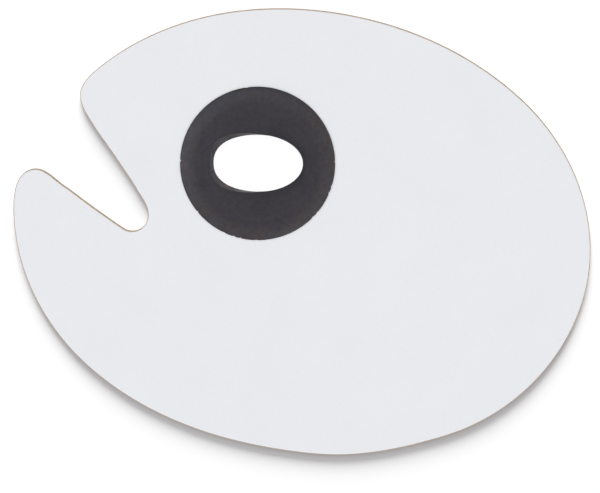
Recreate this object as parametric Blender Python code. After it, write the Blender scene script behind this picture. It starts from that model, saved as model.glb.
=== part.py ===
"""Hand-held mixing palette: a laminated plywood board with a moulded rubber thumb ring.

The board lies flat with its working face up. +X runs along the length of the thumb hole and
along the board's longest extent, +Y towards the edge nearest the thumb ring, and +Z out of the
working face. The origin is in the middle of the outline's box, on the underside.
"""

import math

import bmesh
import bpy

MM = 0.001

# ---- board -----------------------------------------------------------------------------------
BOARD_THICK = 5.0 * MM
LAMINATE_THICK = 0.4 * MM
GLUE_GAP = 0.3 * MM  # clearance between glued or touching pieces
EDGE_EASE = 0.7 * MM  # 45 degree chamfer sanded round both faces

# Three plies share what the two laminates and the four glue lines leave.
PLY_THICK = (BOARD_THICK - 2 * LAMINATE_THICK - 4 * GLUE_GAP) / 3

# Landmarks of the outline, clockwise from the top of the big curve: x and y in mm from the
# middle of the outline, and the direction of travel there in degrees.
OUTLINE = (
    (20, 154, -7.5),  # top of the big curve
    (152, 94.5, -42.5),
    (193.5, -52, -109.5),
    (99.5, -142, -162.5),
    (11, -155.5, 175.5),  # bottom of the big curve
    (-147.5, -96, 138.5),
    (-200, 15.5, 90),  # leftmost point
    (-187, 43.5, 13.5),  # tip of the lobe below the notch
    (-163, 31, -31),  # nearly straight lower edge of the notch, outer end
    (-122.5, 2, -27.5),  # nearly straight lower edge of the notch, inner end
    (-106, 13.5, 95),  # rounded end of the notch
    (-115.5, 33, 117.5),  # nearly straight upper edge of the notch, inner end
    (-142, 72, 120.5),  # nearly straight upper edge of the notch, outer end
    (-152.5, 92.5, 101.5),
    (-140.5, 114, 39),  # shoulder of the lobe above the notch
)
FACET_TURN = 4.0  # degrees of turn per straight facet

# ---- thumb ring ------------------------------------------------------------------------------
RING_CENTRE = (-29.9 * MM, 48.8 * MM)
RING_RADIUS = 53.6 * MM
RING_RISE = 4.4 * MM  # highest point, at the hole's lip, above the working face
CROWN_RISE = 0.6 * MM  # the top's climb from the shoulder to the lip
SHOULDER_WIDTH = 11.0 * MM  # quarter ellipse from the collar's upright edge to the top
SHOULDER_HEIGHT = 3.0 * MM
NECK_RADIUS = 44.0 * MM  # the part of the ring that fills the round hole in the board
LIP_RADIUS = 0.5 * MM
HOLE_HALF_LENGTH = 30.9 * MM
HOLE_HALF_WIDTH = 19.75 * MM
HOLE_TURN = -0.6  # degrees that the hole's long axis is turned from +X
# The thumb hole is an ellipse, squarer on the side of the notch: the exponent of a superellipse
# there is up to 2 plus the squareness. The wall flares out on that side to meet a squarer lip.
THROAT_SQUARENESS = 0.3
LIP_SQUARENESS = 1.1
FLARE_REACH = 2.0 * MM  # how much further the lip reaches than the throat, towards the notch
FLARE_DEPTH = 3.0 * MM
# The hole runs down at a slight slant: its middle at the lip and at the underside, each counted
# from the ring's centre.
HOLE_LIP_OFFSET = (0.75 * MM, 0.9 * MM)
HOLE_BASE_OFFSET = (0.2 * MM, -0.55 * MM)
HOLE_DRAFT = 0.2 * MM  # how much wider the hole is all round at the underside
RING_FACETS = 96
SHOULDER_STEPS = 6
CROWN_STEPS = 6
LIP_STEPS = 4

SOCKET_RADIUS = NECK_RADIUS + GLUE_GAP
COLLAR_Z = BOARD_THICK + GLUE_GAP
LIP_Z = BOARD_THICK + RING_RISE
SHOULDER_Z = LIP_Z - CROWN_RISE


# ---- materials -------------------------------------------------------------------------------
def material(name, colour, roughness, metallic=0.0):
    mat = bpy.data.materials.new(name)
    mat.use_nodes = True
    shader = mat.node_tree.nodes["Principled BSDF"]
    shader.inputs["Base Color"].default_value = (*colour, 1.0)
    shader.inputs["Roughness"].default_value = roughness
    shader.inputs["Metallic"].default_value = metallic
    mat.diffuse_color = (*colour, 1.0)
    return mat


# ---- outline ---------------------------------------------------------------------------------
def heading_vector(degrees):
    return math.cos(math.radians(degrees)), math.sin(math.radians(degrees))


def span_points(start, end):
    """Points and directions along one arc-like cubic span, its far end left out."""
    (x0, y0, turn0), (x1, y1, turn1) = start, end
    turn = (turn1 - turn0 + 180) % 360 - 180
    reach = math.hypot(x1 - x0, y1 - y0) / (3 * math.cos(math.radians(turn) / 4) ** 2)
    (u0, v0), (u1, v1) = heading_vector(turn0), heading_vector(turn1)
    xs = (x0, x0 + reach * u0, x1 - reach * u1, x1)
    ys = (y0, y0 + reach * v0, y1 - reach * v1, y1)
    facets = max(2, math.ceil(abs(turn) / FACET_TURN))
    for i in range(facets):
        t = i / facets
        s = 1 - t
        at = (s**3, 3 * s * s * t, 3 * s * t * t, t**3)
        slope = (-s * s, s * s - 2 * s * t, 2 * s * t - t * t, t * t)
        x, y = (sum(k * p for k, p in zip(at, axis)) for axis in (xs, ys))
        dx, dy = (sum(k * p for k, p in zip(slope, axis)) for axis in (xs, ys))
        length = math.hypot(dx, dy)
        yield x, y, dx / length, dy / length


def outline_trace():
    """(x, y, dx, dy) all round the board: each point with the direction of travel there."""
    spans = zip(OUTLINE, OUTLINE[1:] + OUTLINE[:1])
    trace = [point for start, end in spans for point in span_points(start, end)]
    middle_x, middle_y = (
        (max(p[axis] for p in trace) + min(p[axis] for p in trace)) / 2 for axis in (0, 1))
    return [((x - middle_x) * MM, (y - middle_y) * MM, dx, dy) for x, y, dx, dy in trace]


def outline(inset):
    """The board's outline, drawn in from the true edge by inset metres."""
    # Travel is clockwise, so the material is on the right: (dy, -dx).
    return [(x + inset * dy, y - inset * dx) for x, y, dx, dy in outline_trace()]


def circle(radius):
    cx, cy = RING_CENTRE
    turns = (2 * math.pi * i / RING_FACETS for i in range(RING_FACETS))
    return [(cx + radius * math.cos(a), cy + radius * math.sin(a)) for a in turns]


# ---- mesh building ---------------------------------------------------------------------------
def add_loop(bm, points, z):
    return [bm.verts.new((x, y, z)) for x, y in points]


def loop_edges(bm, loop):
    return [bm.edges.get(pair) or bm.edges.new(pair) for pair in zip(loop, loop[1:] + loop[:1])]


def skin(bm, loops):
    """Quads between each loop and the next."""
    for low, high in zip(loops, loops[1:]):
        around = zip(low, low[1:] + low[:1], high[1:] + high[:1], high)
        for corners in around:
            bm.faces.new(corners)


def finish_object(bm, name, mat, sharp_degrees=40):
    bmesh.ops.recalc_face_normals(bm, faces=bm.faces)
    mesh = bpy.data.meshes.new(name)
    bm.to_mesh(mesh)
    bm.free()
    mesh.shade_smooth()
    mesh.set_sharp_from_angle(angle=math.radians(sharp_degrees))
    mesh.materials.append(mat)
    obj = bpy.data.objects.new(name, mesh)
    bpy.context.collection.objects.link(obj)
    return obj


def rim_inset(z):
    """How far the chamfers draw the board's rim in at height z."""
    return max(0.0, EDGE_EASE - min(z, BOARD_THICK - z))


def sheet(name, mat, low, thick):
    """One layer of the board: the full outline with the ring's round socket through it."""
    bm = bmesh.new()
    high = low + thick
    rim = [add_loop(bm, outline(rim_inset(z)), z) for z in (low, high)]
    socket = [add_loop(bm, circle(SOCKET_RADIUS), z) for z in (low, high)]
    skin(bm, rim)
    skin(bm, socket)
    for outer, inner in ((rim[0], socket[0]), (rim[-1], socket[-1])):
        edges = loop_edges(bm, outer) + loop_edges(bm, inner)
        bmesh.ops.triangle_fill(bm, use_beauty=True, edges=edges)
    return finish_object(bm, name, mat)


# ---- board -----------------------------------------------------------------------------------
def build_board():
    """Two white laminates glued over a three-ply core, the middle ply laid crosswise."""
    white = material("white_laminate", (0.80, 0.81, 0.83), 0.32)
    long_grain = material("birch_long_grain", (0.60, 0.45, 0.33), 0.6)
    cross_grain = material("birch_cross_grain", (0.52, 0.38, 0.27), 0.65)
    plies = (("back_ply", long_grain), ("cross_ply", cross_grain), ("face_ply", long_grain))

    sheet("bottom_laminate", white, 0.0, LAMINATE_THICK)
    low = LAMINATE_THICK + GLUE_GAP
    for name, mat in plies:
        sheet(name, mat, low, PLY_THICK)
        low += PLY_THICK + GLUE_GAP
    sheet("top_laminate", white, low, LAMINATE_THICK)


# ---- thumb ring ------------------------------------------------------------------------------
def shoulder_profile():
    """(radius, z) from the collar's foot over the rounded rim to the top."""
    yield RING_RADIUS, COLLAR_Z
    for i in range(SHOULDER_STEPS + 1):
        a = math.pi / 2 * i / SHOULDER_STEPS
        radius = RING_RADIUS - SHOULDER_WIDTH * (1 - math.cos(a))
        yield radius, SHOULDER_Z - SHOULDER_HEIGHT * (1 - math.sin(a))


def crown_profile():
    """(share of the way in, z) of the top between the shoulder and the hole's lip."""
    for i in range(1, CROWN_STEPS):
        share = i / CROWN_STEPS
        yield share, SHOULDER_Z + CROWN_RISE * share**2


def lip_profile():
    """(growth of the hole, z) over the rounded lip."""
    for i in range(LIP_STEPS + 1):
        a = math.pi / 2 * i / LIP_STEPS
        yield LIP_RADIUS * (1 - math.sin(a)), LIP_Z - LIP_RADIUS * (1 - math.cos(a))


def hole_shift(z):
    """How far the slant has moved the hole's middle from the ring's centre at height z."""
    share = z / LIP_Z
    return [base + (lip - base) * share for base, lip in zip(HOLE_BASE_OFFSET, HOLE_LIP_OFFSET)]


def thumb_hole(growth, z, flare=0.0):
    """The hole at height z, grown all round; flare 1 opens its -X side out to the lip's shape."""
    shift = hole_shift(z)
    squareness = THROAT_SQUARENESS + (LIP_SQUARENESS - THROAT_SQUARENESS) * flare
    cx, cy = RING_CENTRE[0] + shift[0], RING_CENTRE[1] + shift[1]
    u, v = heading_vector(HOLE_TURN)
    points = []
    for i in range(RING_FACETS):
        a = 2 * math.pi * i / RING_FACETS - math.radians(HOLE_TURN)
        towards_notch = math.sqrt(max(0.0, -math.cos(a)))
        opening = growth + FLARE_REACH * flare * towards_notch
        power = 2 + squareness * towards_notch
        reach = (abs(math.cos(a)) ** power + abs(math.sin(a)) ** power) ** (-1 / power)
        x = (HOLE_HALF_LENGTH + opening) * reach * math.cos(a)
        y = (HOLE_HALF_WIDTH + opening) * reach * math.sin(a)
        points.append((cx + x * u - y * v, cy + x * v + y * u))
    return points


def blend(outer, inner, share):
    return [(x0 + (x1 - x0) * share, y0 + (y1 - y0) * share)
            for (x0, y0), (x1, y1) in zip(outer, inner)]


def build_thumb_ring():
    """A collar that stands on the working face, on a neck that fills the board's round hole."""
    bm = bmesh.new()
    crown = circle(RING_RADIUS - SHOULDER_WIDTH)
    lip = thumb_hole(LIP_RADIUS, LIP_Z, flare=1.0)
    throat_z = LIP_Z - FLARE_DEPTH
    loops = [add_loop(bm, circle(NECK_RADIUS), z) for z in (0.0, COLLAR_Z)]
    loops += [add_loop(bm, circle(radius), z) for radius, z in shoulder_profile()]
    loops += [add_loop(bm, blend(crown, lip, share), z) for share, z in crown_profile()]
    loops += [add_loop(bm, thumb_hole(growth, z, flare=1.0), z) for growth, z in lip_profile()]
    loops += [add_loop(bm, thumb_hole(0.0, throat_z), throat_z)]
    loops += [add_loop(bm, thumb_hole(HOLE_DRAFT, 0.0), 0.0)]
    skin(bm, loops + loops[:1])
    rubber = material("charcoal_rubber", (0.055, 0.052, 0.060), 0.75)
    return finish_object(bm, "thumb_ring", rubber)


def clear_scene():
    for obj in list(bpy.data.objects):
        bpy.data.objects.remove(obj, do_unlink=True)


clear_scene()
build_board()
build_thumb_ring()
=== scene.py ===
"""Looks of the mixing palette: a white laminated board with a charcoal rubber thumb ring.

Everything is in metres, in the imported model's frame: +Z out of the working face, +Y towards the
edge nearest the thumb ring, and the underside at z = 0.
"""

import math

import bmesh
import bpy
import numpy as np
from mathutils import Matrix, Vector


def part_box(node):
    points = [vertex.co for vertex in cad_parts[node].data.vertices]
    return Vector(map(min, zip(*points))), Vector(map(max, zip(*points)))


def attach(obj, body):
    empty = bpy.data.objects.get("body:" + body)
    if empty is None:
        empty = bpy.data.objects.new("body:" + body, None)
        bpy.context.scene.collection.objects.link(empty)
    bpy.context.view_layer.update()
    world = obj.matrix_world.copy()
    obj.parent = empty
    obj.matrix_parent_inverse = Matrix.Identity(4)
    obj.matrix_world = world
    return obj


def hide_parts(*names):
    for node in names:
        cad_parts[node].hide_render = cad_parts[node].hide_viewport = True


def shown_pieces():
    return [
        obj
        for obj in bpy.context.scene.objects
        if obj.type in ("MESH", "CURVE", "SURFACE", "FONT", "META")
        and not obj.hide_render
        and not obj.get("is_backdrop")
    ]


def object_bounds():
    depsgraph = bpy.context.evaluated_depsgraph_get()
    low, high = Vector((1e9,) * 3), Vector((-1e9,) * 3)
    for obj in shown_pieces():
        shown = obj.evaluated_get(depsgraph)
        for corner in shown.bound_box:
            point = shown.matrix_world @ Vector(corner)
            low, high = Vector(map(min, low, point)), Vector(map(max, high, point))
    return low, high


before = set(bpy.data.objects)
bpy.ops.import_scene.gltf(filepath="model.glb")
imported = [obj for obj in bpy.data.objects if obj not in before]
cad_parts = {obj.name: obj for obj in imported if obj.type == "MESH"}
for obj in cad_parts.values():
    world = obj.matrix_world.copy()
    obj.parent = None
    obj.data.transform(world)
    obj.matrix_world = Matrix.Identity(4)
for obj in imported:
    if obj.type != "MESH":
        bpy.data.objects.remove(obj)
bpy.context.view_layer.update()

MM = 0.001

# ---- what the frame says ---------------------------------------------------------------------
BOARD_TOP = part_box("top_laminate")[1].z
BOARD_THICK = BOARD_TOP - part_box("bottom_laminate")[0].z
ring_low, ring_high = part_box("thumb_ring")
RING_CENTRE = (ring_low + ring_high) / 2
RING_RADIUS = (ring_high.x - ring_low.x) / 2
RING_TOP = ring_high.z

# ---- board sizes -----------------------------------------------------------------------------
LAMINATE_THICK = 0.30 * MM
PLY_THICK = (BOARD_THICK - 2 * LAMINATE_THICK) / 3
CHAMFER = 0.70 * MM
LAMINATE_EASE = 0.02 * MM  # the small bevel where a laminate meets its veneer
GLUE_GROOVE = 0.05 * MM
RIM_SPACING = 1.6 * MM  # distance between the points of the outline
BOARD_SHARP = 20  # degrees; low enough to keep the chamfer from tilting the face's shading

# ---- ring sizes ------------------------------------------------------------------------------
RING_FACETS = 360
SHOULDER_STEPS, CROWN_STEPS, LIP_STEPS = 19, 17, 7
RING_SHARP = 40  # degrees
OUT_OF_ROUND = 0.25 * MM
OUT_OF_ROUND_TURN = math.radians(27)
NICK_DEPTH = 0.60 * MM
NICK_WIDTH = math.radians(0.75)
NICKS = (2, 98, 178, 219, 244, 252, 257, 269, 316, 321, 338, 343)  # degrees round the rim
NICK_SHARE = (0.5, 1.2)  # shallowest and deepest nick, as a share of NICK_DEPTH
CROWN_RISE = 0.6 * MM
SHOULDER_WIDTH = 11.0 * MM
SHOULDER_HEIGHT = 3.0 * MM
SHOULDER_ROUNDNESS = 1.4  # superellipse exponent: 1 is a flat bevel, 2 a true ellipse
LIP_RADIUS = 0.5 * MM
NECK_GAP = 0.15 * MM
HOLE_HALF_LENGTH = 30.9 * MM
HOLE_HALF_WIDTH = 19.75 * MM
HOLE_TURN = math.radians(-0.6)
THROAT_SQUARENESS = 0.3  # added to the ellipse's exponent on the notch side
LIP_SQUARENESS = 1.1
FLARE_REACH = 2.0 * MM
FLARE_DEPTH = 3.0 * MM
HOLE_LIP_OFFSET = np.array((0.75, 0.9)) * MM
HOLE_BASE_OFFSET = np.array((0.2, -0.55)) * MM
HOLE_DRAFT = 0.2 * MM

# ---- colours and marks -----------------------------------------------------------------------
LAMINATE_WARM = (0.800, 0.808, 0.836)
LAMINATE_COOL = (0.812, 0.822, 0.856)
BIRCH_LONG = (0.60, 0.45, 0.30), (0.46, 0.33, 0.21)  # light and dark figure
BIRCH_CROSS = (0.51, 0.38, 0.25), (0.39, 0.28, 0.18)
GLUE_STAIN = 0.12 * MM
# A dark spot of painted shade stands in for a pinhole in the rim that the mesh does not have.
PINHOLE_SHADE_SPOT = (140.5 * MM, 104.0 * MM, 3.4 * MM)  # centre of a pinhole in the rim
PINHOLE_SHADE_SIZE = 1.7 * MM
# brown and bluish tints, mixed in as blotches near the ring's rim
BROWN_RIM_BLOTCH = (0.0420, 0.0330, 0.0310)
BLUISH_RIM_BLOTCH = (0.0300, 0.0325, 0.0440)
# colour of the painted light on the thumb hole's wall
HOLE_WALL_LIGHT = (0.120, 0.104, 0.100)
# Charcoal tone with painted shading: a painted highlight over the shoulder (0.88 to 0.94), painted
# shade at the rim's foot (1.00) and towards the hole (0.40).
RUBBER_TONE_AND_SHADE = (  # by distance from the ring's centre, as a share of its radius
    (0.40, (0.0255, 0.0245, 0.0310)),
    (0.62, (0.0270, 0.0262, 0.0325)),
    (0.80, (0.0300, 0.0286, 0.0345)),
    (0.88, (0.0350, 0.0326, 0.0372)),
    (0.94, (0.0345, 0.0318, 0.0350)),
    (1.00, (0.0220, 0.0200, 0.0215)),
)
FLOOR_HALF_SIZE = 4.0
FLOOR_GAP = 0.05 * MM  # keeps the floor off the underside's own plane
FLOOR_ALBEDO = 0.5
FLOOR_GLOW = 0.265
FLOOR_GLOW_TINT = (0.975, 0.962, 1.0)
WORLD_STRENGTH = 0.15


# ---- reading outlines from the frame ---------------------------------------------------------
def edge_loops(node):
    """Ordered (x, y) loops round a node's flat top: the longest first."""
    bm = bmesh.new()
    bm.from_mesh(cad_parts[node].data)
    bmesh.ops.remove_doubles(bm, verts=bm.verts, dist=1e-6)
    top = max(v.co.z for v in bm.verts)
    neighbours = {}
    for edge in bm.edges:
        flat = [abs(f.normal.z) > 0.99 for f in edge.link_faces]
        level = all(abs(v.co.z - top) < 1e-6 for v in edge.verts)
        if level and any(flat) and not all(flat):
            a, b = edge.verts
            neighbours.setdefault(a, []).append(b)
            neighbours.setdefault(b, []).append(a)
    loops = []
    while neighbours:
        start = next(iter(neighbours))
        loop, here = [start], neighbours.pop(start)[0]
        while here is not start:
            onward = [v for v in neighbours.pop(here) if v is not loop[-1]]
            loop.append(here)
            here = onward[0]
        loops.append(np.array([v.co.xy for v in loop]))
    bm.free()
    return sorted(loops, key=perimeter, reverse=True)


def perimeter(loop):
    return float(np.hypot(*(np.roll(loop, -1, 0) - loop).T).sum())


def smooth_loop(loop, spacing):
    """A closed smooth curve through the loop's corners, with points about spacing apart."""
    before, after, beyond = (np.roll(loop, shift, 0) for shift in (1, -1, -2))
    points = []
    for p0, p1, p2, p3 in zip(before, loop, after, beyond):
        gaps = [math.sqrt(math.dist(a, b)) for a, b in ((p0, p1), (p1, p2), (p2, p3))]
        t0, t1, t2, t3 = 0.0, gaps[0], gaps[0] + gaps[1], sum(gaps)
        steps = max(1, round(math.dist(p1, p2) / spacing))
        for i in range(steps):
            t = t1 + (t2 - t1) * i / steps
            a1 = p0 * (t1 - t) / (t1 - t0) + p1 * (t - t0) / (t1 - t0)
            a2 = p1 * (t2 - t) / (t2 - t1) + p2 * (t - t1) / (t2 - t1)
            a3 = p2 * (t3 - t) / (t3 - t2) + p3 * (t - t2) / (t3 - t2)
            b1 = a1 * (t2 - t) / (t2 - t0) + a2 * (t - t0) / (t2 - t0)
            b2 = a2 * (t3 - t) / (t3 - t1) + a3 * (t - t1) / (t3 - t1)
            points.append(b1 * (t2 - t) / (t2 - t1) + b2 * (t - t1) / (t2 - t1))
    points = np.clip(points, loop.min(0), loop.max(0))
    x, y = points.T
    area = np.sum(x * np.roll(y, -1) - y * np.roll(x, -1)) / 2
    return points if area > 0 else points[::-1]


def outward(loop):
    """Unit normals pointing out of a loop that runs counter-clockwise."""
    run = np.roll(loop, -1, 0) - np.roll(loop, 1, 0)
    run /= np.hypot(*run.T)[:, None]
    return np.stack([run[:, 1], -run[:, 0]], 1)


# ---- mesh building ---------------------------------------------------------------------------
def add_loop(bm, points, z):
    """Adds vertices at (x, y) points, at one height or one height each."""
    heights = np.broadcast_to(z, len(points))
    return [bm.verts.new((x, y, h)) for (x, y), h in zip(points, heights)]


def skin(bm, loops):
    """Joins each loop to the next with a band of faces."""
    for low, high in zip(loops, loops[1:]):
        for corners in zip(low, low[1:] + low[:1], high[1:] + high[:1], high):
            bm.faces.new(corners)


def cap(bm, *loops):
    """Fills a flat face inside the first loop and outside the others."""
    edges = []
    for loop in loops:
        pairs = zip(loop, loop[1:] + loop[:1])
        edges += [bm.edges.get(pair) or bm.edges.new(pair) for pair in pairs]
    bmesh.ops.triangle_fill(bm, use_beauty=True, edges=edges)


def link_new(name, data):
    obj = bpy.data.objects.new(name, data)
    bpy.context.collection.objects.link(obj)
    return obj


def finish_piece(bm, name, mat, node, sharp_degrees):
    """Turns the mesh into a piece that stands for its CAD node and rides on the board."""
    bmesh.ops.recalc_face_normals(bm, faces=bm.faces)
    mesh = bpy.data.meshes.new(name)
    bm.to_mesh(mesh)
    bm.free()
    mesh.shade_smooth()
    mesh.set_sharp_from_angle(angle=math.radians(sharp_degrees))
    mesh.materials.append(mat)
    piece = link_new(name, mesh)
    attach(piece, "root")
    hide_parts(node)
    return piece


# ---- materials -------------------------------------------------------------------------------
class Finish:
    """A material under construction: each method adds one node and gives back its output."""

    def __init__(self, name, roughness=0.5, specular=0.5):
        self.material = bpy.data.materials.new(name)
        self.material.use_nodes = True
        self.tree = self.material.node_tree
        self.shader = self.tree.nodes["Principled BSDF"]
        self.shader.inputs["Roughness"].default_value = roughness
        self.shader.inputs["Specular IOR Level"].default_value = specular
        self.place = self.tree.nodes.new("ShaderNodeTexCoord").outputs["Object"]

    def add(self, kind, inputs, **settings):
        node = self.tree.nodes.new("ShaderNode" + kind)
        for setting, value in settings.items():
            setattr(node, setting, value)
        for socket_name, value in inputs.items():
            if isinstance(value, bpy.types.NodeSocket):
                self.tree.links.new(value, node.inputs[socket_name])
            else:
                node.inputs[socket_name].default_value = value
        return node

    def math(self, operation, first, second=0.0, third=0.0):
        inputs = {0: first, 1: second, 2: third}
        return self.add("Math", inputs, operation=operation).outputs[0]

    def noise(self, grain, detail=3.0, roughness=0.5, stretch=(1, 1, 1), turned=0.0):
        """Noise whose grains are about grain metres across, divided by stretch along each axis."""
        turn = {"Vector": self.place, "Rotation": (0, 0, turned)}
        where = self.add("Mapping", {**turn, "Scale": stretch}).outputs[0]
        inputs = {"Vector": where, "Scale": 1 / grain, "Detail": detail, "Roughness": roughness}
        return self.add("TexNoise", inputs).outputs["Fac"]

    def ramp(self, value, *stops):
        """A colour or grey ramp through (position, colour) stops."""
        node = self.add("ValToRGB", {"Fac": value})
        elements = node.color_ramp.elements
        while len(elements) < len(stops):
            elements.new(0.5)
        for element, (position, colour) in zip(elements, stops):
            element.position = position
            element.color = (*colour, 1.0) if isinstance(colour, tuple) else (colour,) * 3 + (1.0,)
        return node.outputs["Color"]

    def blend(self, share, first, second, how="MIX"):
        node = self.add("Mix", {"Factor": share}, data_type="RGBA", blend_type=how)
        for socket_name, value in (("A_Color", first), ("B_Color", second)):
            target = next(i for i in node.inputs if i.identifier == socket_name)
            if isinstance(value, bpy.types.NodeSocket):
                self.tree.links.new(value, target)
            else:
                target.default_value = (*value, 1.0)
        return next(o for o in node.outputs if o.identifier == "Result_Color")

    def fit(self, value, low, high):
        """Noise (0 to 1) turned into a plain number from low to high."""
        inputs = {"Value": value, "From Min": 0.3, "From Max": 0.7, "To Min": low, "To Max": high}
        return self.add("MapRange", inputs).outputs[0]

    def relief(self, height, depth, under=None):
        """Bump from a 0 to 1 height, depth metres deep."""
        inputs = {"Height": height, "Distance": depth, "Strength": 1.0}
        if under:
            inputs["Normal"] = under
        return self.add("Bump", inputs).outputs["Normal"]

    def finish(self, **links):
        names = {"colour": "Base Color", "roughness": "Roughness", "normal": "Normal"}
        for key, value in links.items():
            self.tree.links.new(value, self.shader.inputs[names[key]])
        return self.material


def laminate_material():
    """White satin laminate: faint cloudiness, a fine orange peel and hairline wiping marks."""
    look = Finish("white_laminate")
    clouds = look.noise(45 * MM, detail=4)
    colour = look.ramp(clouds, (0.35, LAMINATE_WARM), (0.65, LAMINATE_COOL))
    specks = look.ramp(look.noise(0.9 * MM, detail=1), (0.30, 0.97), (0.42, 1.0))
    colour = look.blend(1.0, colour, specks, "MULTIPLY")

    first = look.noise(20 * MM, detail=2, stretch=(1, 60, 1), turned=math.radians(24))
    second = look.noise(16 * MM, detail=2, stretch=(1, 70, 1), turned=math.radians(-58))
    marks = look.math("MAXIMUM", look.ramp(first, (0.70, 0.0), (0.74, 1.0)),
                      look.ramp(second, (0.71, 0.0), (0.75, 1.0)))
    rough = look.fit(look.noise(12 * MM, detail=3), 0.40, 0.48)
    rough = look.math("MULTIPLY_ADD", marks, 0.10, rough)

    normal = look.relief(look.noise(2.2 * MM, detail=2), 0.006 * MM)
    normal = look.relief(look.math("SUBTRACT", 1.0, marks), 0.003 * MM, under=normal)
    return look.finish(colour=colour, roughness=rough, normal=normal)


def birch_material(name, along, light, dark):
    """Sanded birch veneer with its grain along X or Y, darker beside the glue lines, with a spot of
    painted shade for a pinhole.
    """
    look = Finish(name, specular=0.3)
    coarse, fine = ((0.06, 1.0, 2.5), (0.03, 1.0, 1.0)) if along == "X" else (
        (1.0, 0.06, 2.5), (1.0, 0.03, 1.0))
    figure = look.noise(3 * MM, detail=6, roughness=0.6, stretch=coarse)
    colour = look.ramp(figure, (0.32, dark), (0.68, light))
    pores = look.ramp(look.noise(0.45 * MM, detail=2, stretch=fine), (0.30, 0.62), (0.40, 1.0))
    colour = look.blend(0.8, colour, pores, "MULTIPLY")
    tone = look.ramp(look.noise(12 * MM, detail=3), (0.30, 0.84), (0.70, 1.08))
    colour = look.blend(1.0, colour, tone, "MULTIPLY")

    # Painted shade: a dark spot where the pinhole would be.
    distance = look.add("VectorMath", {0: look.place, 1: PINHOLE_SHADE_SPOT}, operation="DISTANCE")
    from_pinhole_shade = look.math("DIVIDE", distance.outputs["Value"], PINHOLE_SHADE_SIZE)
    colour = look.blend(1.0, colour, look.ramp(from_pinhole_shade, (0.5, 0.15), (1.0, 1.0)), "MULTIPLY")

    height = look.add("SeparateXYZ", {"Vector": look.place}).outputs["Z"]
    above_laminate = look.math("SUBTRACT", height, LAMINATE_THICK)
    from_glue = look.math("PINGPONG", above_laminate, PLY_THICK / 2)
    nearness = look.math("DIVIDE", from_glue, GLUE_STAIN)
    colour = look.blend(1.0, colour, look.ramp(nearness, (0.2, 0.55), (1.0, 1.0)), "MULTIPLY")

    rough = look.fit(figure, 0.62, 0.78)
    return look.finish(colour=colour, roughness=rough, normal=look.relief(figure, 0.05 * MM))


def rubber_material():
    """Charcoal rubber: mottled, with painted shading by radius, brown and bluish blotches near the
    rim, painted shade on the lip and painted light on the hole's wall.
    """
    look = Finish("charcoal_rubber")
    centre = (*RING_CENTRE.xy, 0.0)
    offset = look.add("VectorMath", {0: look.place, 1: centre}, operation="SUBTRACT").outputs[0]
    flat = look.add("VectorMath", {0: offset, 1: (1, 1, 0)}, operation="MULTIPLY").outputs[0]
    radius = look.add("VectorMath", {0: flat}, operation="LENGTH").outputs["Value"]
    out = look.math("DIVIDE", radius, RING_RADIUS)
    along, across, height = look.add("SeparateXYZ", {"Vector": offset}).outputs
    end = look.math("MULTIPLY_ADD", along, 0.5 / HOLE_HALF_LENGTH, 0.5)  # 1 at the hole's +X end
    side = look.math("MULTIPLY_ADD", across, 0.5 / HOLE_HALF_WIDTH, 0.5)  # 1 at its +Y side
    level = look.math("DIVIDE", height, RING_TOP)

    # Tone by distance from the centre, carrying painted shading: a painted highlight over the
    # shoulder, painted shade at the rim's foot and towards the hole; brown and bluish blotches near
    # the rim.
    mottle = look.noise(14 * MM, detail=5, roughness=0.6)
    reach = look.math("MULTIPLY_ADD", look.math("SUBTRACT", mottle, 0.5), 0.14, out)
    colour = look.ramp(reach, *RUBBER_TONE_AND_SHADE)
    blotches = look.noise(5 * MM, detail=3, roughness=0.6)
    near_rim = look.ramp(reach, (0.70, 0.10), (0.92, 1.0))
    brown = look.math("MULTIPLY", near_rim, look.ramp(blotches, (0.50, 0.0), (0.66, 0.6)))
    cool = look.math("MULTIPLY", near_rim, look.ramp(blotches, (0.36, 0.7), (0.48, 0.0)))
    colour = look.blend(brown, colour, BROWN_RIM_BLOTCH)
    colour = look.blend(cool, colour, BLUISH_RIM_BLOTCH)
    streaks = look.ramp(look.noise(3 * MM, detail=4, roughness=0.65), (0.30, 0.78), (0.70, 1.20))
    colour = look.blend(1.0, colour, streaks, "MULTIPLY")

    # The lip is painted darker as painted shade, most of all at the hole's +X end.
    lip_shade = look.ramp(level, (0.965, 1.0), (0.993, 0.62))
    colour = look.blend(look.ramp(end, (0.50, 0.25), (0.90, 1.0)), colour, lip_shade, "MULTIPLY")

    # Pale painted light on the hole's wall, in patches, brightest on its -Y side.
    below_lip = look.ramp(level, (0.90, 1.0), (0.94, 0.0))
    in_hole = look.ramp(out, (0.72, 1.0), (0.76, 0.0))
    wall_light = look.math("MULTIPLY", below_lip, in_hole)
    wall_light = look.math("MULTIPLY", wall_light, look.ramp(look.noise(6 * MM), (0.38, 0.55), (0.60, 1.0)))
    lit_side = look.ramp(side, (0.12, 1.0), (0.36, 0.02), (0.88, 0.0), (0.98, 0.12))
    wall_light = look.math("MULTIPLY", wall_light, lit_side)
    colour = look.blend(wall_light, colour, HOLE_WALL_LIGHT)

    grain = look.noise(0.6 * MM, detail=3, roughness=0.6)
    colour = look.blend(1.0, colour, look.ramp(grain, (0.30, 0.82), (0.70, 1.15)), "MULTIPLY")
    rough = look.fit(mottle, 0.46, 0.58)
    normal = look.relief(look.noise(4 * MM, detail=3), 0.06 * MM)
    return look.finish(colour=colour, roughness=rough, normal=look.relief(grain, 0.03 * MM, normal))


white = laminate_material()
long_grain = birch_material("birch_long_grain", "X", *BIRCH_LONG)
cross_grain = birch_material("birch_cross_grain", "Y", *BIRCH_CROSS)
rubber = rubber_material()

# ---- board -----------------------------------------------------------------------------------
rim, socket = (smooth_loop(loop, RIM_SPACING) for loop in edge_loops("face_ply"))
rim_out = outward(rim)


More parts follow.
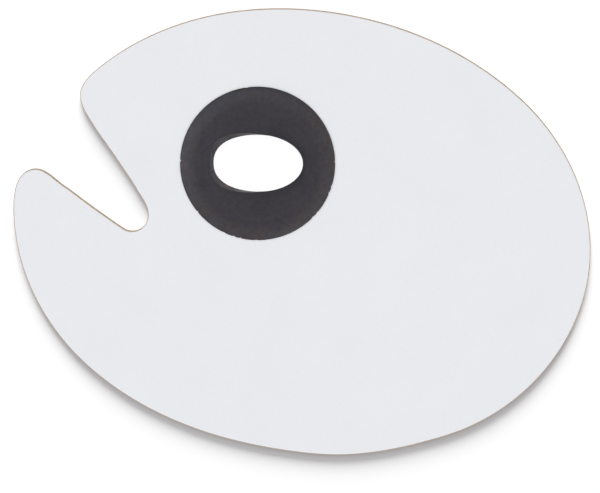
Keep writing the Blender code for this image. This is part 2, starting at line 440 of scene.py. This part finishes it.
def rim_inset(z):
    """How far the chamfers draw the rim in at height z."""
    return max(0.0, CHAMFER - min(z, BOARD_THICK - z))


def board_layer(name, mat, node, low, high, groove):
    """One layer of the board, its edges drawn in by groove where it meets the next layer."""
    bm = bmesh.new()
    profile = {low: groove, low + groove: 0.0, high - groove: 0.0, high: groove}
    profile.update({z: 0.0 for z in (CHAMFER, BOARD_THICK - CHAMFER) if low < z < high})
    rings = [add_loop(bm, rim - rim_out * (rim_inset(z) + extra), z)
             for z, extra in sorted(profile.items())]
    hole = [add_loop(bm, socket, z) for z in (low, high)]
    skin(bm, rings)
    skin(bm, hole)
    cap(bm, rings[0], hole[0])
    cap(bm, rings[-1], hole[-1])
    piece = finish_piece(bm, name, mat, node, BOARD_SHARP)


levels = [0.0] + [LAMINATE_THICK + i * PLY_THICK for i in range(4)] + [BOARD_THICK]
layers = (
    ("bottom_laminate", white, "white_laminate", LAMINATE_EASE),
    ("back_ply", long_grain, "birch_long_grain", GLUE_GROOVE),
    ("cross_ply", cross_grain, "birch_cross_grain", GLUE_GROOVE),
    ("face_ply", long_grain, "birch_long_grain", GLUE_GROOVE),
    ("top_laminate", white, "white_laminate", LAMINATE_EASE),
)
for (node, mat, slot, groove), low, high in zip(layers, levels, levels[1:]):
    board_layer(node + "_fine", mat, node, low, high, groove)


# ---- thumb ring ------------------------------------------------------------------------------
turn = np.linspace(0, 2 * math.pi, RING_FACETS, endpoint=False)
outward_of_ring = np.stack([np.cos(turn), np.sin(turn)], 1)
ring_xy = np.array(RING_CENTRE.xy)
random = np.random.default_rng(3)


def circle(radius):
    return ring_xy + radius * outward_of_ring


def thumb_hole(growth, z, flare=0.0):
    """The hole at height z, grown all round; flare 1 opens its -X side out to the lip's shape."""
    a = turn - HOLE_TURN
    towards_notch = np.sqrt(np.maximum(0.0, -np.cos(a)))
    squareness = THROAT_SQUARENESS + (LIP_SQUARENESS - THROAT_SQUARENESS) * flare
    power = 2 + squareness * towards_notch
    reach = (abs(np.cos(a)) ** power + abs(np.sin(a)) ** power) ** (-1 / power)
    growth = growth + FLARE_REACH * flare * towards_notch
    x = (HOLE_HALF_LENGTH + growth) * reach * np.cos(a)
    y = (HOLE_HALF_WIDTH + growth) * reach * np.sin(a)
    u, v = math.cos(HOLE_TURN), math.sin(HOLE_TURN)
    shift = HOLE_BASE_OFFSET + (HOLE_LIP_OFFSET - HOLE_BASE_OFFSET) * z / RING_TOP
    return ring_xy + shift + np.stack([x * u - y * v, x * v + y * u], 1)


def rim_error():
    """How far the moulded rim stands off a true circle: slightly oval, with nicks in its flash."""
    error = OUT_OF_ROUND * np.cos(2 * (turn - OUT_OF_ROUND_TURN))
    for place, depth in zip(np.radians(NICKS), random.uniform(*NICK_SHARE, len(NICKS))):
        away = (turn - place + math.pi) % (2 * math.pi) - math.pi
        error -= NICK_DEPTH * depth * np.exp(-(away / NICK_WIDTH) ** 2)
    return error


def build_ring():
    """One closed skin: up the neck and collar, over the shoulder and crown, down the hole."""
    bm = bmesh.new()
    error = rim_error()[:, None] * outward_of_ring
    neck = math.dist(socket[0], ring_xy) - NECK_GAP
    shoulder_z = RING_TOP - CROWN_RISE
    loops = [add_loop(bm, circle(neck), 0.0), add_loop(bm, circle(neck), BOARD_TOP)]
    loops.append(add_loop(bm, circle(RING_RADIUS) + error, BOARD_TOP))
    for a in np.linspace(0, math.pi / 2, SHOULDER_STEPS):
        out, rise = math.cos(a) ** (2 / SHOULDER_ROUNDNESS), math.sin(a) ** (2 / SHOULDER_ROUNDNESS)
        rim_points = circle(RING_RADIUS - SHOULDER_WIDTH * (1 - out)) + error * out**3
        loops.append(add_loop(bm, rim_points, shoulder_z - SHOULDER_HEIGHT * (1 - rise)))
    crown = circle(RING_RADIUS - SHOULDER_WIDTH)
    lip = thumb_hole(LIP_RADIUS, RING_TOP, flare=1.0)
    for share in np.linspace(0, 1, CROWN_STEPS)[1:-1]:
        crown_points = crown + (lip - crown) * share
        loops.append(add_loop(bm, crown_points, shoulder_z + CROWN_RISE * share**2))
    for a in np.linspace(0, math.pi / 2, LIP_STEPS):
        z = RING_TOP - LIP_RADIUS * (1 - math.cos(a))
        loops.append(add_loop(bm, thumb_hole(LIP_RADIUS * (1 - math.sin(a)), z, flare=1.0), z))
    throat_z = RING_TOP - FLARE_DEPTH
    loops.append(add_loop(bm, thumb_hole(0.0, throat_z), throat_z))
    loops.append(add_loop(bm, thumb_hole(HOLE_DRAFT, 0.0), 0.0))
    skin(bm, loops + loops[:1])
    piece = finish_piece(bm, "thumb_ring_fine", rubber, "thumb_ring", RING_SHARP)


build_ring()

# ---- camera ----------------------------------------------------------------------------------
LENS, SENSOR = 215.0, 36.0  # millimetres, as Blender takes them
DISTANCE = 2.484
LEAN_X, LEAN_Y = math.radians(3.5), math.radians(8.6)  # from straight overhead
target = Vector((-0.5 * MM, -8.9 * MM, BOARD_TOP))

back = Vector((math.sin(LEAN_X), math.sin(LEAN_Y), 0.0))
back.z = math.sqrt(1 - back.length_squared)
up = (Vector((0, 1, 0)) - back * back.y).normalized()
right = up.cross(back)
facing = Matrix((right, up, back)).transposed().to_4x4()

camera = link_new("camera", bpy.data.cameras.new("camera"))
camera.data.lens = LENS
camera.data.sensor_width = SENSOR
camera.matrix_world = Matrix.Translation(target + back * DISTANCE) @ facing
bpy.context.scene.camera = camera


# ---- floor -----------------------------------------------------------------------------------
def floor_material():
    """A white light table: part of its brightness is its own, so shadows on it stay pale."""
    look = Finish("floor", roughness=1.0, specular=0.0)
    look.shader.inputs["Base Color"].default_value = (FLOOR_ALBEDO,) * 3 + (1.0,)
    look.shader.inputs["Emission Color"].default_value = (*FLOOR_GLOW_TINT, 1.0)
    look.shader.inputs["Emission Strength"].default_value = FLOOR_GLOW
    return look.material


floor_mesh = bpy.data.meshes.new("floor")
bm = bmesh.new()
bmesh.ops.create_grid(bm, x_segments=1, y_segments=1, size=FLOOR_HALF_SIZE)
bm.to_mesh(floor_mesh)
bm.free()
floor = link_new("floor", floor_mesh)
floor.location.z = -FLOOR_GAP
floor_mesh.materials.append(floor_material())
floor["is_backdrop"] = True


# ---- light -----------------------------------------------------------------------------------
def group(name, members):
    collection = bpy.data.collections.new(name)
    for obj in members:
        collection.objects.link(obj)
    return collection


def soft_light(name, azimuth, elevation, spread, strength, lights_up, shaded_by=None,
               colour=(1, 1, 1)):
    """A distant round lamp for one group: azimuth from +X, elevation and width, in degrees.

    Without shaded_by, everything casts a shadow in its light.
    """
    lamp = bpy.data.lights.new(name, "SUN")
    lamp.angle = math.radians(spread)
    lamp.energy = strength
    lamp.color = colour
    obj = link_new(name, lamp)
    a, e = math.radians(azimuth), math.radians(elevation)
    towards = Vector((math.cos(a) * math.cos(e), math.sin(a) * math.cos(e), math.sin(e)))
    obj.rotation_euler = towards.to_track_quat("Z", "Y").to_euler()
    obj.light_linking.receiver_collection = lights_up
    if shaded_by:
        obj.light_linking.blocker_collection = shaded_by
    return obj


board_pieces = [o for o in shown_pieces() if "ring" not in o.name]
only_floor = group("only_floor", [floor])
only_board = group("only_board", board_pieces)
only_ring = group("only_ring", [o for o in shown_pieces() if "ring" in o.name])

soft_light("back_light", 91, 23, 36, 9.4, only_floor, only_board)
soft_light("back_light_high", 91, 58, 32, 0.9, only_floor, only_board)
soft_light("board_top", 285, 80, 150, 2.58, only_board, only_board)
soft_light("board_left", 155, 38, 30, 0.22, only_board).visible_glossy = False
soft_light("ring_left", 180, 38, 40, 1.18, only_ring, colour=(0.93, 0.89, 1.0))
soft_light("ring_back_left", 120, 50, 40, 0.62, only_ring, colour=(0.70, 0.80, 1.0))
soft_light("ring_back_right", 65, 42, 40, 0.54, only_ring, colour=(1.0, 0.88, 0.88))
soft_light("ring_right", 0, 32, 40, 1.02, only_ring, colour=(1.0, 0.90, 0.86))
soft_light("ring_front_right", 300, 28, 40, 0.94, only_ring, colour=(1.0, 0.94, 0.94))
soft_light("ring_front_left", 240, 28, 40, 0.54, only_ring, colour=(1.0, 0.90, 0.85))

world = bpy.data.worlds.new("world")
world.use_nodes = True
world.node_tree.nodes["Background"].inputs["Color"].default_value = (1, 1, 1, 1)
world.node_tree.nodes["Background"].inputs["Strength"].default_value = WORLD_STRENGTH
bpy.context.scene.world = world
bpy.context.scene.view_settings.view_transform = "Standard"

# ---- size ------------------------------------------------------------------------------------
low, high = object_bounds()
